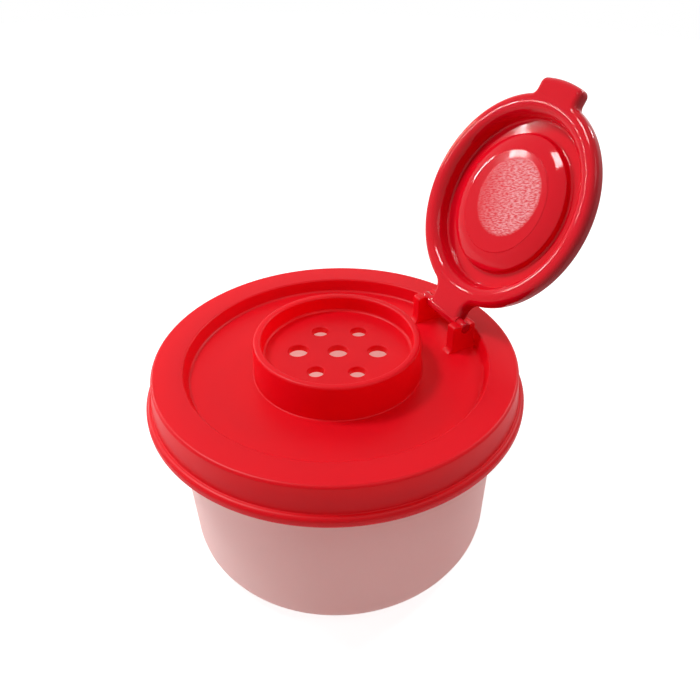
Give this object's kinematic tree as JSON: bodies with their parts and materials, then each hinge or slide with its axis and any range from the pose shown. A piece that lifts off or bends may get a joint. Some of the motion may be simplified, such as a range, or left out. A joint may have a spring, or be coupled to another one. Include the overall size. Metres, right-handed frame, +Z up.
{
  "type": "spice shaker",
  "caption": "Low round spice shaker: translucent cup, press-on lid with a raised collar round a perforated plate, and a hinged flip cap with a thumb tab, standing open.",
  "frame": {"origin": "centre of the cup's flat base", "axes": "+Z up along the cup's axis, +Y from that axis towards the cap's hinge, +X along the hinge pin"},
  "size_m": [0.066, 0.0781, 0.079],
  "materials": {
    "cup": "translucent natural polypropylene",
    "shaker_lid": "satin moulded red plastic",
    "flip_cap": "glossy moulded red plastic"
  },
  "bodies": {
    "cup": {"cup": "cup"},
    "lid": {"shaker_lid": "shaker_lid"},
    "cap": {"flip_cap": "flip_cap"}
  },
  "joints": [
    {"name": "lid_lift", "type": "slide", "parent": "cup", "child": "lid", "axis": [0, 0, 1], "range_m": [0, 0.025]},
    {"name": "cap_hinge", "type": "hinge", "parent": "lid", "child": "cap", "pos_m": [0, 0.02251, 0.0402], "axis": [-1, 0, 0], "range_deg": [-119.25, 45]}
  ]
}
